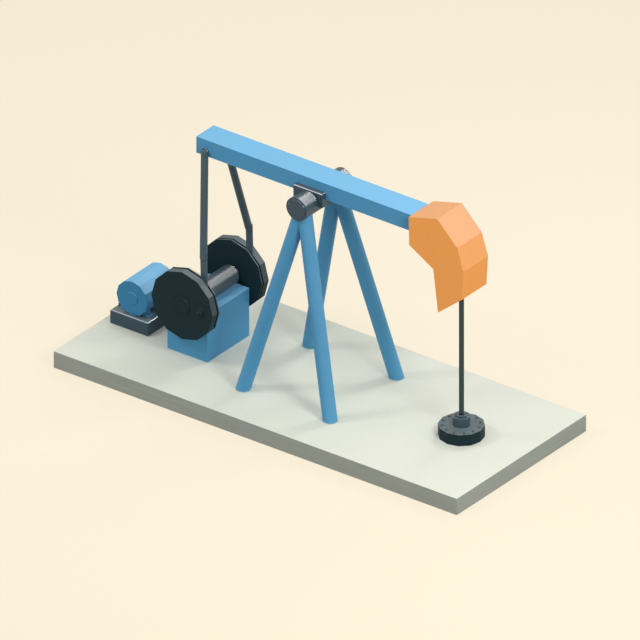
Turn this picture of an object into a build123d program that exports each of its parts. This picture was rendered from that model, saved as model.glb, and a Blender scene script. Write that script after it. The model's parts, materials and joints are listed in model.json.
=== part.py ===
"""A beam pumping unit on its concrete pad.

X runs along the pad towards the horse head, Y across it, Z up. The origin is the centre of the pad's
underside. The near side is -Y. All lengths are in millimetres.
"""

from build123d import *
from math import cos, hypot, radians, sin
import os

os.makedirs("parts", exist_ok=True)

# Pad
pad_length = 9070.0
pad_width = 3880.0
pad_thickness = 335.0
well_bore_radius = 62.0

# Clearances shared by several pieces
running_gap = 5.0
pin_gap = 0.3
fit_gap = 0.2
overrun = 50.0

# Samson post: four pipe legs under two fixed bearing heads
pivot_height = 3897.0
leg_radius = 136.5
leg_foot_x = 979.0
leg_foot_y = 997.0
leg_apex_y = 486.0
leg_pocket_depth = 150.0
post_head_radius = 232.0
post_head_length = 335.0
post_head_end_wall = 24.0
centre_shaft_radius = 75.0

# Saddle that carries the walking beam on the centre shaft
saddle_length = 652.0
saddle_width = 724.0
saddle_depth_below_shaft = 22.0
saddle_cheek_height = 152.0
saddle_edge_break = 14.0

# Walking beam
beam_width = 517.0
beam_depth = 331.0
beam_wall = 16.0
beam_rise_over_shaft = 105.0
beam_tail_reach = 2587.0
beam_nose_reach = 2640.0
tail_plate_thickness = 16.0
tail_pin_reach = 2370.0
tail_pin_rise = 207.0
tail_pin_radius = 38.0
tail_pin_depth = 36.0

# Horse head
well_reach = 3186.0
head_overhang = 320.0
head_back_reach = 2275.0
head_drop = 1296.0
head_height = 1926.0
head_width = 738.0
cheek_thickness = 16.0
head_plate_thickness = 12.0
head_face_shares = ((0.0, 0.910), (0.522, 1.0), (0.886, 0.767), (1.0, 0.534), (0.971, 0.230))
head_rear_shares = ((0.007, 0.614), (0.448, 0.447), (0.534, 0.0))

# Wire ropes, their track in the head, and the carrier that hangs on them
rope_radius = 14.0
rope_spacing = 170.0
rope_track_gap = 0.5
rope_end_gap = 6.0
track_thickness = 16.0
track_top_angle = 6.0
track_bottom_angle = 11.0
anchor_angle = 0.7
carrier_length = 144.0
carrier_width = 260.0
carrier_height = 144.0
carrier_drop = 657.0

# Polished rod, its coupling to the rod string, and the wellhead
rod_radius = 47.0
rod_seal_gap = 0.5
polished_rod_bottom = 235.0
string_bottom_depth = 160.0
flange_radius = 427.0
flange_height = 225.0
flange_sides = 12
stuffing_box_radius = 160.0
stuffing_box_height = 180.0

# Cranks: two webs a side with the pitman's blade in the groove between them
crank_reach = 2470.0
crank_height = 1143.0
crank_throw = 400.0
web_radius = 689.0
web_sides = 12
web_inner_y = 637.0
inner_web_thickness = 28.0
outer_web_thickness = 143.0
blade_thickness = 26.0
blade_side_gap = 5.0
crankshaft_radius = 99.0
wrist_pin_radius = 55.0

# Pitmans
pitman_radius = 70.0
pitman_top_y = 297.0
pitman_beam_gap = 5.0
pitman_eye_radius = 84.0
pitman_slot_depth = 110.0
pitman_bend_x = 2106.0
pitman_bend_height = 2175.0

# Gearbox
gearbox_length = 898.0
gearbox_width = 1256.0
gearbox_height = 986.0
gearbox_front_overhang = 409.0
housing_radius = 193.0
bearing_cover_radius = 178.0
bearing_cover_thickness = 20.0
housing_flange_width = 46.0
housing_flange_thickness = 20.0
hatch_length = 560.0
hatch_width = 190.0
hatch_height = 14.0
input_axis_offset = 205.0
input_housing_radius = 150.0
input_housing_low_y = -270.0
input_housing_high_y = 400.0

# Motor
motor_radius = 347.0
motor_sides = 12
motor_length = 864.0
end_bell_thickness = 46.0
motor_base_length = 846.0
motor_base_width = 1000.0
motor_base_height = 284.0
motor_base_edge_break = 14.0
motor_base_rear_overhang = 437.0
motor_foot_spread = 216.0
motor_foot_width = 84.0
motor_foot_length = 130.0
motor_foot_inset = 96.0
motor_foot_lug = 62.0
motor_foot_thickness = 22.0

# Belt drive on the far side of the motor
belt_count = 3
belt_width = 24.0
belt_pitch = 32.0
belt_thickness = 14.0
belt_centre_y = 500.0
belt_axis_spacing = 742.0
drive_axis_height = 627.0
motor_pulley_radius = 100.0
sheave_radius = 170.0
pulley_rim_share = 0.6
pulley_hub_width = 112.0
drive_shaft_radius = 34.0
sheave_hub_radius = 66.0
sheave_rim_thickness = 26.0
sheave_recess_depth = 40.0
sheave_hole_count = 6
sheave_hole_radius = 22.0

# Heights and places that follow
pad_top = pad_thickness
pivot_z = pad_top + pivot_height
saddle_half = saddle_width / 2
post_head_inner_y = saddle_half + running_gap
post_head_outer_y = post_head_inner_y + post_head_length
beam_bottom = pivot_z + beam_rise_over_shaft
beam_top = beam_bottom + beam_depth
head_length = well_reach + head_overhang - head_back_reach
head_bottom = pivot_z - head_drop
crank_z = pad_top + crank_height
groove_inner_y = web_inner_y + inner_web_thickness
groove_outer_y = groove_inner_y + blade_thickness + 2 * blade_side_gap
blade_y = (groove_inner_y + groove_outer_y) / 2
tail_pin_z = pivot_z + tail_pin_rise
tail_pin_end = pitman_top_y + tail_pin_depth
track_radius = well_reach - rope_radius - rope_track_gap
gearbox_front_x = gearbox_front_overhang - crank_reach
gearbox_rear_x = gearbox_front_x - gearbox_length
input_x = gearbox_rear_x - input_axis_offset
motor_x = input_x - belt_axis_spacing
drive_z = pad_top + drive_axis_height
pulley_low_y = belt_centre_y - pulley_hub_width / 2
pulley_high_y = belt_centre_y + pulley_hub_width / 2
side_names = {-1: "near", 1: "far"}
end_names = {1: "front", -1: "rear"}


def between_y(sketch, y_low, y_high):
    """A sketch in X and Z, made solid from y_low to y_high."""
    return Pos(0, y_high, 0) * extrude(Plane.XZ * sketch, y_high - y_low, dir=(0, -1, 0))


def bar_y(x, z, radius, y_low, y_high):
    """A round bar along Y."""
    return Pos(x, (y_low + y_high) / 2, z) * Rot(X=90) * Cylinder(radius, y_high - y_low)


def bar_z(x, y, radius, z_low, z_high):
    """A round bar along Z."""
    return Pos(x, y, (z_low + z_high) / 2) * Cylinder(radius, z_high - z_low)


def block(x_span, y_span, z_span):
    """A box between two corners."""
    low = [span[0] for span in (x_span, y_span, z_span)]
    size = [span[1] - span[0] for span in (x_span, y_span, z_span)]
    corner = (Align.MIN, Align.MIN, Align.MIN)
    return Pos(*low) * Box(*size, align=corner)


def on_side(side, inner, outer):
    """The Y span from inner to outer on the near (-1) or the far (1) side."""
    return (inner, outer) if side > 0 else (-outer, -inner)


def sides_y(radius, sides, x, z, y_low, y_high):
    """A many-sided prism along Y with a corner on its horizontal middle line."""
    return Pos(x, 0, z) * between_y(RegularPolygon(radius, sides), y_low, y_high)


def save(shape, node):
    export_step(shape, f"parts/{node}.step")


def leg_bar(side, end, extra):
    """One leg's pipe, still whole at its top, on the floor of its pocket in the pad."""
    foot = Vector(end * leg_foot_x, side * leg_foot_y, pad_top)
    apex = Vector(0, side * leg_apex_y, pivot_z)
    run = apex - foot
    reach = Plane(origin=foot - run.normalized() * (leg_pocket_depth + leg_radius), z_dir=run)
    upright = (Align.CENTER, Align.CENTER, Align.MIN)
    bar = reach * Cylinder(leg_radius + extra, run.length + leg_pocket_depth + leg_radius, align=upright)
    x_span = (0, pad_length) if end > 0 else (-pad_length, 0)
    keep = block(x_span, on_side(side, 0, pad_width), (pad_top - leg_pocket_depth, pivot_z))
    return bar & keep


def make_pad():
    pad = block((-pad_length / 2, pad_length / 2), (-pad_width / 2, pad_width / 2), (0, pad_thickness))
    for side in side_names:
        for end in end_names:
            pad -= leg_bar(side, end, fit_gap)
    pad -= bar_z(well_reach, 0, well_bore_radius, -overrun, pad_top + overrun)
    save(pad, "concrete_pad")


def make_samson_post():
    cope = bar_y(0, pivot_z, post_head_radius + fit_gap, -pad_width, pad_width)
    shaft_end = post_head_outer_y - post_head_end_wall
    for side, name in side_names.items():
        for end, end_name in end_names.items():
            save(leg_bar(side, end, 0) - cope, f"{name}_{end_name}_leg")
        head = bar_y(0, pivot_z, post_head_radius, *on_side(side, post_head_inner_y, post_head_outer_y))
        socket = bar_y(0, pivot_z, centre_shaft_radius + fit_gap, -shaft_end, shaft_end)
        save(head - socket, f"{name}_post_head")
    save(bar_y(0, pivot_z, centre_shaft_radius, -shaft_end, shaft_end), "centre_shaft")


def make_saddle():
    split = pivot_z - saddle_depth_below_shaft
    half_length = saddle_length / 2
    x_span = (-half_length, half_length)
    y_span = (-saddle_half, saddle_half)
    casting = block(x_span, y_span, (split, beam_bottom + saddle_cheek_height))
    casting = chamfer(casting.faces().sort_by(Axis.Z)[-1].edges(), saddle_edge_break)
    drum = bar_y(0, pivot_z, post_head_radius, -saddle_half, saddle_half)
    beam_space = block(
        (-saddle_length, saddle_length),
        (-beam_width / 2, beam_width / 2),
        (beam_bottom, beam_top),
    )
    bore = bar_y(0, pivot_z, centre_shaft_radius + pin_gap, -saddle_width, saddle_width)
    below = block((-saddle_length, saddle_length), (-saddle_width, saddle_width), (0, split))
    save(casting - beam_space - bore, "beam_saddle")
    save((drum & below) - bore, "centre_bearing_cap")


def make_beam():
    half = beam_width / 2
    tube_start = tail_plate_thickness - beam_tail_reach
    tube = block((tube_start, beam_nose_reach), (-half, half), (beam_bottom, beam_top))
    hollow = block(
        (tube_start - overrun, beam_nose_reach + overrun),
        (beam_wall - half, half - beam_wall),
        (beam_bottom + beam_wall, beam_top - beam_wall),
    )
    pin_hole = bar_y(-tail_pin_reach, tail_pin_z, tail_pin_radius + fit_gap, -beam_width, beam_width)
    save(tube - hollow - pin_hole, "walking_beam")
    plate = block((-beam_tail_reach, tube_start), (-half, half), (beam_bottom, beam_top))
    save(plate, "beam_tail_plate")
    save(bar_y(-tail_pin_reach, tail_pin_z, tail_pin_radius, -tail_pin_end, tail_pin_end), "tail_pin")


def head_point(shares):
    """A point of the head's outline in X and Z, from its shares of the head's length and height."""
    return (head_back_reach + shares[0] * head_length, head_bottom + shares[1] * head_height)


def inset_line(start, end, depth):
    """The line from start to end, moved to its right by depth."""
    run_x, run_z = end[0] - start[0], end[1] - start[1]
    size = hypot(run_x, run_z)
    move_x, move_z = depth * run_z / size, -depth * run_x / size
    return (start[0] + move_x, start[1] + move_z), (end[0] + move_x, end[1] + move_z)


def meet(line_a, line_b):
    """Where two lines cross."""
    (ax, az), (bx, bz) = line_a
    (cx, cz), (dx, dz) = line_b
    cross = (bx - ax) * (dz - cz) - (bz - az) * (dx - cx)
    share = ((cx - ax) * (dz - cz) - (cz - az) * (dx - cx)) / cross
    return (ax + share * (bx - ax), az + share * (bz - az))


def bent_plate(outline, first, last):
    """The wall of a clockwise outline along its corners first to last, mitred at both."""
    count = len(outline)
    depths = [head_plate_thickness] * count
    depths[open_edge] = 0
    lines = [
        inset_line(outline[i], outline[(i + 1) % count], depths[i])
        for i in range(count)
    ]
    corners = range(first, last + 1)
    outer = [outline[i % count] for i in corners]
    inner = [meet(lines[(i - 1) % count], lines[i % count]) for i in corners]
    return Polygon(*outer, *reversed(inner), align=None)


head_face = [head_point(shares) for shares in head_face_shares]
head_rear = [head_point(shares) for shares in head_rear_shares]
head_outline = head_face + list(reversed(head_rear))
open_edge = len(head_face) - 1


def make_head():
    half = head_width / 2
    inner = half - cheek_thickness
    cheek = Polygon(*head_outline, align=None)
    for side, name in side_names.items():
        save(between_y(cheek, *on_side(side, inner, half)), f"{name}_head_cheek")
    face = bent_plate(head_outline, 0, open_edge)
    save(between_y(face, -inner, inner), "head_face_plate")
    rear = bent_plate(head_outline, open_edge + 1, len(head_outline))
    beam_space = block(
        (0, beam_nose_reach),
        (-beam_width / 2, beam_width / 2),
        (beam_bottom, beam_top),
    )
    save(between_y(rear, -inner, inner) - beam_space, "head_rear_plate")


def ring_part(inner, outer, low_angle, high_angle, y_low, y_high):
    """A ring about the centre shaft, kept between two angles over the horizontal."""
    ring = between_y(Circle(outer) - Circle(inner), y_low, y_high)
    reach = 2 * outer
    wedge = Polygon(
        (0, 0),
        (reach * cos(radians(low_angle)), reach * sin(radians(low_angle))),
        (reach * cos(radians(high_angle)), reach * sin(radians(high_angle))),
        align=None,
    )
    return Pos(0, 0, pivot_z) * (ring & between_y(wedge, y_low, y_high))


def make_ropes():
    inner = head_width / 2 - cheek_thickness
    rope_top = track_top_angle - anchor_angle
    track = ring_part(
        track_radius - track_thickness, track_radius, -track_bottom_angle, track_top_angle, -inner, inner
    )
    anchor = ring_part(
        track_radius, track_radius + 2 * rope_radius, rope_top, track_top_angle, -rope_spacing, rope_spacing
    )
    save(track + anchor, "rope_track")
    wrapped = []
    hanging = []
    for side in side_names:
        y = side * rope_spacing / 2
        section = Plane(origin=(well_reach, y, pivot_z), z_dir=(0, 0, 1)) * Circle(rope_radius)
        turn_axis = Axis((0, y, pivot_z), (0, -1, 0))
        wrapped.append(revolve(section, turn_axis, rope_top))
        hanging.append(bar_z(well_reach, y, rope_radius, pivot_z - carrier_drop, pivot_z - rope_end_gap))
    save(Compound(children=wrapped), "wrapped_ropes")
    save(Compound(children=hanging), "hanging_ropes")


def make_rod():
    carrier_top = pivot_z - carrier_drop
    carrier_bottom = carrier_top - carrier_height
    carrier = block(
        (well_reach - carrier_length / 2, well_reach + carrier_length / 2),
        (-carrier_width / 2, carrier_width / 2),
        (carrier_bottom, carrier_top),
    )
    save(carrier, "rope_carrier")
    joint_z = pad_top + polished_rod_bottom
    save(bar_z(well_reach, 0, rod_radius, joint_z, carrier_bottom), "polished_rod")
    save(bar_z(well_reach, 0, rod_radius, pad_top - string_bottom_depth, joint_z), "rod_string_end")


def make_wellhead():
    flange_top = pad_top + flange_height
    box_top = flange_top + stuffing_box_height
    flange = extrude(RegularPolygon(flange_radius, flange_sides), flange_height)
    bore = bar_z(well_reach, 0, well_bore_radius, -overrun, flange_top + overrun)
    save(Pos(well_reach, 0, pad_top) * flange - bore, "wellhead_flange")
    seal = bar_z(well_reach, 0, rod_radius + rod_seal_gap, flange_top - overrun, box_top + overrun)
    save(bar_z(well_reach, 0, stuffing_box_radius, flange_top, box_top) - seal, "stuffing_box")


def make_cranks():
    pin_x = crank_throw - crank_reach
    boss_gap = blade_side_gap - pin_gap
    blade_inner_y = groove_inner_y + blade_side_gap
    blade_outer_y = blade_inner_y + blade_thickness
    for side, name in side_names.items():
        inner = sides_y(
            web_radius, web_sides, -crank_reach, crank_z, *on_side(side, web_inner_y, groove_inner_y)
        )
        inner += bar_y(
            pin_x, crank_z, wrist_pin_radius, *on_side(side, groove_inner_y, groove_inner_y + boss_gap)
        )
        bore = bar_y(-crank_reach, crank_z, crankshaft_radius + fit_gap, -pad_width, pad_width)
        save(inner - bore, f"{name}_inner_web")
        outer = sides_y(
            web_radius,
            web_sides,
            -crank_reach,
            crank_z,
            *on_side(side, groove_outer_y, groove_outer_y + outer_web_thickness),
        )
        outer += bar_y(
            pin_x, crank_z, wrist_pin_radius, *on_side(side, groove_outer_y - boss_gap, groove_outer_y)
        )
        save(outer, f"{name}_outer_web")
        pin = bar_y(pin_x, crank_z, wrist_pin_radius, *on_side(side, blade_inner_y, blade_outer_y))
        save(pin, f"{name}_wrist_pin")
    shaft = bar_y(-crank_reach, crank_z, crankshaft_radius, -groove_inner_y, groove_inner_y)
    save(shaft, "crankshaft")


def make_pitman(side, name):
    """The leaning round rod from its knuckle on the tail pin to the bend, and the blade from there down."""
    bend_z = pad_top + pitman_bend_height
    top = Vector(-tail_pin_reach, side * pitman_top_y, tail_pin_z)
    bend = Vector(-pitman_bend_x, side * blade_y, bend_z)
    run = top - bend
    upright = (Align.CENTER, Align.CENTER, Align.MIN)
    start = Plane(origin=bend - run.normalized() * pitman_radius, z_dir=run)
    rod = start * Cylinder(pitman_radius, run.length + pitman_radius, align=upright)
    rod += Pos(*top) * Sphere(pitman_radius)
    outside = on_side(side, beam_width / 2 + pitman_beam_gap, pad_width)
    x_span = (-beam_tail_reach - overrun, 0)
    rod &= block(x_span, outside, (bend_z, tail_pin_z + pitman_radius))
    blade_span = on_side(side, groove_inner_y + blade_side_gap, groove_outer_y - blade_side_gap)
    pin = (crank_throw - crank_reach, crank_z)
    blade_top = (-pitman_bend_x, bend_z + pitman_slot_depth)
    lean = (blade_top[0] - pin[0]) / (blade_top[1] - pin[1])
    shank = Polygon(
        (pin[0] - pitman_radius, pin[1]),
        (pin[0] + pitman_radius, pin[1]),
        (blade_top[0] + pitman_radius, blade_top[1]),
        (blade_top[0] - pitman_radius, blade_top[1]),
        align=None,
    )
    blade = between_y(shank, *blade_span)
    blade += bar_y(*pin, pitman_eye_radius, *blade_span)
    blade -= bar_y(*pin, wrist_pin_radius, *on_side(side, 0, pad_width))
    hole_span = on_side(side, 0, tail_pin_end + running_gap)
    pin_hole = bar_y(-tail_pin_reach, tail_pin_z, tail_pin_radius + pin_gap, *hole_span)
    save(rod - blade - pin_hole, f"{name}_pitman_rod")
    save(blade, f"{name}_pitman_blade")


def make_gearbox():
    half = gearbox_width / 2
    top = pad_top + gearbox_height
    case = block((gearbox_rear_x, gearbox_front_x), (-half, half), (pad_top, top))
    housing_span = (input_housing_low_y, input_housing_high_y)
    case += bar_y(input_x, drive_z, input_housing_radius, *housing_span)
    case += block(
        (input_x, gearbox_rear_x),
        housing_span,
        (drive_z - input_housing_radius, drive_z + input_housing_radius),
    )
    case -= bar_y(input_x, drive_z, drive_shaft_radius, 0, pad_width)
    hatch_x = (gearbox_rear_x - crank_reach - housing_radius - housing_flange_width) / 2
    hatch_span = (hatch_x - hatch_width / 2, hatch_x + hatch_width / 2)
    case += block(hatch_span, (-hatch_length / 2, hatch_length / 2), (top, top + hatch_height))
    save(case, "gearbox_case")
    cover_inner_y = half - bearing_cover_thickness
    above = block((-pad_length, 0), (-half, half), (top, pivot_z))
    housing = bar_y(-crank_reach, crank_z, housing_radius, -cover_inner_y, cover_inner_y) & above
    flange_reach = housing_radius + housing_flange_width
    housing += block(
        (-crank_reach - flange_reach, flange_reach - crank_reach),
        (-cover_inner_y, cover_inner_y),
        (top, top + housing_flange_thickness),
    )
    room = bar_y(-crank_reach, crank_z, crankshaft_radius + running_gap, -half, half)
    save(housing - room, "crankshaft_housing")
    covers = []
    for side in side_names:
        cover = bar_y(-crank_reach, crank_z, bearing_cover_radius, *on_side(side, cover_inner_y, half))
        covers.append((cover & above) - bar_y(-crank_reach, crank_z, crankshaft_radius + pin_gap, -half, half))
    save(Compound(children=covers), "crankshaft_covers")


def grooved_pulley(x, radius):
    """A belt pulley with a groove for each belt."""
    rim = radius + belt_thickness * pulley_rim_share
    pulley = bar_y(x, drive_z, rim, pulley_low_y, pulley_high_y)
    for y in belt_places():
        groove = bar_y(x, drive_z, rim + overrun, y - belt_width / 2, y + belt_width / 2)
        pulley -= groove - bar_y(x, drive_z, radius, pulley_low_y, pulley_high_y)
    return pulley


def drive_shaft(x, low_y):
    """The shaft end that carries a pulley, from low_y to a little past the pulley."""
    return bar_y(x, drive_z, drive_shaft_radius, low_y, pulley_high_y + drive_shaft_radius)


def sheave_recess(y_low, y_high):
    """The ring turned out of one side of the sheave, between its hub and its rim."""
    outer = bar_y(input_x, drive_z, sheave_radius - sheave_rim_thickness, y_low, y_high)
    return outer - bar_y(input_x, drive_z, sheave_hub_radius, y_low, y_high)


def sheave_holes():
    """The round holes through the sheave's web, on one circle."""
    circle = (sheave_hub_radius + sheave_radius - sheave_rim_thickness) / 2
    holes = PolarLocations(circle, sheave_hole_count) * Circle(sheave_hole_radius)
    return Pos(input_x, 0, drive_z) * between_y(Sketch(children=holes), pulley_low_y, pulley_high_y)


def belt_places():
    return [belt_centre_y + (n - (belt_count - 1) / 2) * belt_pitch for n in range(belt_count)]


def belt_round(extra, y_low, y_high):
    """What a belt goes round: both pulleys and the tangents that join them, grown by extra."""
    small = motor_pulley_radius + extra
    large = sheave_radius + extra
    run_x = input_x - motor_x
    lean = (large - small) / run_x
    square = (1 - lean**2) ** 0.5
    corners = [
        (small * -lean, small * square),
        (run_x - large * lean, large * square),
        (run_x - large * lean, -large * square),
        (small * -lean, -small * square),
    ]
    between = Pos(motor_x, 0, drive_z) * between_y(Polygon(*corners, align=None), y_low, y_high)
    ends = bar_y(motor_x, drive_z, small, y_low, y_high) + bar_y(input_x, drive_z, large, y_low, y_high)
    return between + ends


def make_belt_drive():
    save(grooved_pulley(motor_x, motor_pulley_radius) + drive_shaft(motor_x, motor_length / 2), "motor_pulley")
    sheave = grooved_pulley(input_x, sheave_radius)
    sheave -= sheave_recess(pulley_high_y - sheave_recess_depth, pulley_high_y)
    sheave -= sheave_recess(pulley_low_y, pulley_low_y + sheave_recess_depth)
    sheave -= sheave_holes()
    save(sheave + drive_shaft(input_x, 0), "gearbox_sheave")
    belts = []
    for y in belt_places():
        span = (y - belt_width / 2, y + belt_width / 2)
        belts.append(belt_round(belt_thickness, *span) - belt_round(0, *span))
    save(Compound(children=belts), "drive_belts")


def motor_feet(base_top):
    """Four feet under the frame, each with a lug that its hold-down bolt goes through."""
    feet = []
    half_frame = motor_length / 2 - motor_foot_inset
    for side in side_names:
        y_span = on_side(side, half_frame - motor_foot_length, half_frame)
        for end in end_names:
            x = motor_x + end * motor_foot_spread
            x_span = (x - motor_foot_width / 2, x + motor_foot_width / 2)
            feet.append(block(x_span, y_span, (base_top, drive_z - motor_foot_spread)))
            lug_x = x + end * motor_foot_lug
            lug_span = (min(x, lug_x) - motor_foot_width / 2, max(x, lug_x) + motor_foot_width / 2)
            feet.append(block(lug_span, y_span, (base_top, base_top + motor_foot_thickness)))
    return feet


def make_motor():
    base_top = pad_top + motor_base_height
    half = motor_base_width / 2
    rear_x = motor_x - motor_base_rear_overhang
    x_span = (rear_x, rear_x + motor_base_length)
    base = block(x_span, (-half, half), (pad_top, base_top))
    base = chamfer(base.faces().sort_by(Axis.Z)[-1].edges(), motor_base_edge_break)
    save(base, "motor_base")
    above = block((-pad_length, 0), (-pad_width, pad_width), (base_top, pivot_z))
    half_motor = motor_length / 2
    half_frame = half_motor - end_bell_thickness
    frame = sides_y(motor_radius, motor_sides, motor_x, drive_z, -half_frame, half_frame) & above
    save(frame + motor_feet(base_top), "motor_frame")
    bells = []
    for side in side_names:
        span = on_side(side, half_frame, half_motor)
        bells.append(sides_y(motor_radius, motor_sides, motor_x, drive_z, *span) & above)
    save(Compound(children=bells), "motor_end_bells")


make_pad()
make_samson_post()
make_saddle()
make_beam()
make_head()
make_ropes()
make_rod()
make_wellhead()
make_cranks()
for pitman_side, pitman_name in side_names.items():
    make_pitman(pitman_side, pitman_name)
make_gearbox()
make_belt_drive()
make_motor()
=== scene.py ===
"""Looks of the pumpjack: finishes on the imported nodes, and the small pieces that they carry."""

import json
from math import ceil, cos, pi, radians, sin, sqrt

import bmesh
import bpy
from mathutils import Matrix, Vector


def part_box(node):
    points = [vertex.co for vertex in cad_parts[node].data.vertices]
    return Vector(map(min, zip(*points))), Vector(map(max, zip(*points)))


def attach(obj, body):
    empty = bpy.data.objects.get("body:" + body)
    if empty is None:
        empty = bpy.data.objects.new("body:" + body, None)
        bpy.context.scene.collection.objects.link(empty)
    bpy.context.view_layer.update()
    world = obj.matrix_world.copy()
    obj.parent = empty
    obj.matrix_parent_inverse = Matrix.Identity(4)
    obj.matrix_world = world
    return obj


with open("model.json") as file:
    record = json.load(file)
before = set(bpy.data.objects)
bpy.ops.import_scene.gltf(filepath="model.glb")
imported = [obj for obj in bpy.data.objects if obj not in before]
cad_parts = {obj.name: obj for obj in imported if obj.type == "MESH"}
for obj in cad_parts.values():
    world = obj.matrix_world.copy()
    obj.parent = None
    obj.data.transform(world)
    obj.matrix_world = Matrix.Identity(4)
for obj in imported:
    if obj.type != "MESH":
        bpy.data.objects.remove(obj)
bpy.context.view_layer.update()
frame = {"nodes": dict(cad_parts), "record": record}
nodes = frame["nodes"]
slot_of = {part["node"]: part["material_slot"] for part in frame["record"]["subparts"]}

# The photograph's view: parallel, 18 mm to a pixel
PICTURE_SIDE = 640
METRES_PER_PIXEL = 0.018
VIEW_AZIMUTH = radians(36.87)
VIEW_ELEVATION = radians(29.24)
PAD_CENTRE_PIXEL = Vector((319.9, 383.0))
CAMERA_DISTANCE = 30.0
CLIP_SHARE = 4

# Colours as they are seen in daylight, in steps of 0 to 255
SKY_WHITE = (255, 255, 255)
FLOOR_CREAM = (252, 241, 218)
BACKGROUND_CREAM = (247, 235, 211)
CONCRETE_TOP = (220, 223, 209)
CONCRETE_SIDE = (172, 176, 165)
# Each enamel has a deep colour for its sides and a lighter one for its tops, the lighter one painted light
BLUE_DEEP = (80, 149, 190)
BLUE_SHADED = (58, 132, 176)
BLUE_LIT_TOP = (116, 183, 224)
ORANGE_DEEP = (252, 168, 87)
ORANGE_LIT_TOP = (229, 167, 117)
DARK_SIDE = (54, 75, 88)
DARK_GREY = (66, 86, 96)
# The housing's sides are lighter than its top, to lift its shaded underside: painted light
HOUSING_GREY = (84, 100, 110)
# Dark enamel's top colours are lighter than its sides: painted light. The motor base's top is lighter still,
# painted light where the motor shades it
DARK_TOP = (68, 84, 92)
BASE_TOP = (108, 124, 130)
IRON_FACE = (14, 40, 48)
# Cast iron's greys for rims and tops, lighter where they face up: partly bare metal, partly painted light
IRON_RIM = (42, 58, 64)
IRON_LIT_GREY = (83, 98, 104)
STEEL_OILED = (50, 65, 73)
# The grey of painted edge highlights
EDGE_HIGHLIGHT = (176, 186, 194)
ROPE_GREY = (92, 98, 102)
BELT_BLACK = (26, 26, 28)


def linear(colour):
    """A colour of 0 to 255 steps as the shader's linear values, with full alpha."""
    shares = [step / 255 for step in colour]
    return (*(s / 12.92 if s <= 0.04045 else ((s + 0.055) / 1.055) ** 2.4 for s in shares), 1.0)


class Wire:
    """One output socket of a shader node. Arithmetic on it adds Math nodes."""

    def __init__(self, tree, socket):
        self.tree = tree
        self.socket = socket

    def maths(self, operation, *others):
        values = dict(enumerate([self, *others]))
        return self.tree.node("ShaderNodeMath", {"operation": operation}, values)

    def __add__(self, other):
        return self.maths("ADD", other)

    def __sub__(self, other):
        return self.maths("SUBTRACT", other)

    def __rsub__(self, other):
        return self.tree.node("ShaderNodeMath", {"operation": "SUBTRACT"}, {0: other, 1: self})

    def __mul__(self, other):
        return self.maths("MULTIPLY", other)

    def __truediv__(self, other):
        return self.maths("DIVIDE", other)

    __radd__ = __add__
    __rmul__ = __mul__

    def size(self):
        return self.maths("ABSOLUTE")

    def least(self, other):
        return self.maths("MINIMUM", other)

    def most(self, other):
        return self.maths("MAXIMUM", other)

    def step(self, low, high):
        """0 below low, 1 above high, smooth between."""
        values = {"Value": self, "From Min": low, "From Max": high}
        return self.tree.node("ShaderNodeMapRange", {"interpolation_type": "SMOOTHSTEP"}, values)


class Tree:
    """The node tree of a material or of the world."""

    def __init__(self, owner):
        owner.use_nodes = True
        self.nodes = owner.node_tree.nodes
        self.links = owner.node_tree.links

    def node(self, kind, settings=None, values=None, output=0):
        """A node of that kind, its settings set first, then its sockets. Returns one of its outputs."""
        made = self.nodes.new(kind)
        for label, value in (settings or {}).items():
            setattr(made, label, value)
        for label, value in (values or {}).items():
            if isinstance(value, Wire):
                self.links.new(value.socket, made.inputs[label])
            else:
                made.inputs[label].default_value = value
        return Wire(self, made.outputs[output])

    def end_in(self, output, wire):
        """Makes a wire the surface of an output node."""
        self.links.new(wire.socket, self.nodes[output].inputs["Surface"])


# A Mix node's sockets for colours, by number because the node has others of the same name
MIX_MASK, MIX_FIRST, MIX_SECOND, MIX_COLOUR = 0, 6, 7, 2


class Finish(Tree):
    """A material, built up node by node on Object coordinates."""

    def __init__(self, name, **constants):
        self.material = bpy.data.materials.new(name)
        super().__init__(self.material)
        self.shader = self.nodes["Principled BSDF"]
        self.place = self.node("ShaderNodeTexCoord", output="Object")
        for label, value in constants.items():
            self.shader.inputs[label.replace("_", " ")].default_value = value

    def feed(self, label, wire):
        self.links.new(wire.socket, self.shader.inputs[label])

    def axes(self, source=None):
        """The X, Y and Z of a vector, or of the place on the piece."""
        whole = self.node("ShaderNodeSeparateXYZ", None, {0: source or self.place})
        outputs = whole.socket.node.outputs
        return [Wire(self, outputs[n]) for n in range(3)]

    def facing(self):
        """Which way the surface points at rest, as X, Y and Z."""
        return self.axes(self.node("ShaderNodeTexCoord", output="Normal"))

    def noise(self, scale, detail, roughness, stretch=(1.0, 1.0, 1.0)):
        """Cloudy noise of 0 to 1, with that many cells to a metre."""
        place = self.node("ShaderNodeMapping", None, {"Vector": self.place, "Scale": stretch})
        values = {"Vector": place, "Scale": scale, "Detail": detail, "Roughness": roughness}
        return self.node("ShaderNodeTexNoise", None, values)

    def cells(self, scale):
        """Distance to the nearest of scattered points, with that many points to a metre."""
        return self.node("ShaderNodeTexVoronoi", None, {"Vector": self.place, "Scale": scale})

    def blend(self, mask, without, with_mask):
        """A colour between two, by a mask of 0 to 1."""
        values = {MIX_MASK: mask, MIX_FIRST: without, MIX_SECOND: with_mask}
        return self.node("ShaderNodeMix", {"data_type": "RGBA"}, values, MIX_COLOUR)

    def shade(self, colour, amount):
        """A colour made darker or lighter by a factor near 1."""
        grey = self.node("ShaderNodeCombineXYZ", None, {0: amount, 1: amount, 2: amount})
        values = {0: colour if isinstance(colour, Wire) else colour[:3], 1: grey}
        return self.node("ShaderNodeVectorMath", {"operation": "MULTIPLY"}, values)

    def relief(self, height, depth, strength):
        """Bump from a height of 0 to 1 that stands depth metres high."""
        values = {"Height": height, "Distance": depth, "Strength": strength}
        self.feed("Normal", self.node("ShaderNodeBump", None, values))


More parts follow.
